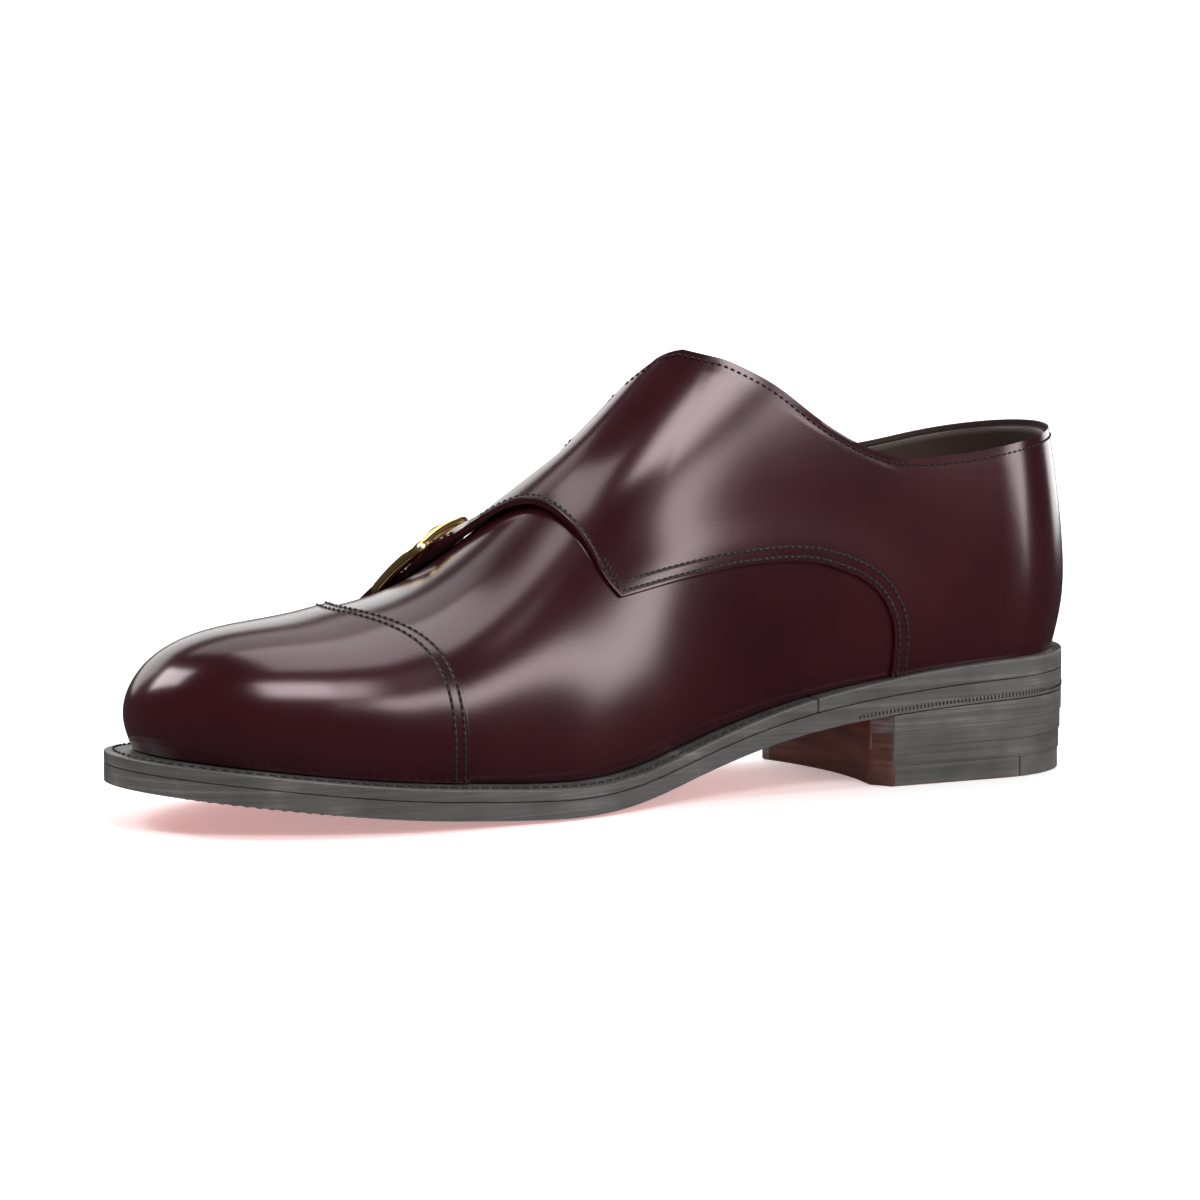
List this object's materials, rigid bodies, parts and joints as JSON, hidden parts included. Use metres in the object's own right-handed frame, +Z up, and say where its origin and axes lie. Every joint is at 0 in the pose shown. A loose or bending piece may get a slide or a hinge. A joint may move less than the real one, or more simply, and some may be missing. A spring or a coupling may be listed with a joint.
{
  "type": "monk strap shoe",
  "caption": "Right monk strap shoe with a capped toe: polished leather upper, straps buckled over the instep, welted leather sole and stacked heel.",
  "frame": {"origin": "on the ground, under the middle of the shoe's bounding box", "axes": "+X from the heel to the toe, +Y to the inner side of the foot, +Z up"},
  "size_m": [0.3006, 0.103, 0.1255],
  "materials": {
    "upper_leather": "polished dark burgundy",
    "edge_leather": "dark waxed edge dressing",
    "sole_leather": "orange-red, satin",
    "lining_leather": "matt dark brown",
    "heel_rubber": "matt dark grey",
    "brass": "polished"
  },
  "bodies": {
    "root": {"upper": "upper_leather", "tongue": "upper_leather", "toe_cap": "upper_leather", "monk_flap": "upper_leather", "chape_front": "upper_leather", "chape_rear": "upper_leather", "welt": "edge_leather", "heel_rand": "edge_leather", "heel_lift_1": "edge_leather", "heel_lift_2": "edge_leather", "heel_lift_3": "edge_leather", "outsole": "sole_leather", "top_piece_leather": "sole_leather", "top_piece_rubber": "heel_rubber", "insole": "lining_leather", "buckle_front": "brass", "buckle_rear": "brass", "prong_front": "brass", "prong_rear": "brass"}
  },
  "joints": []
}
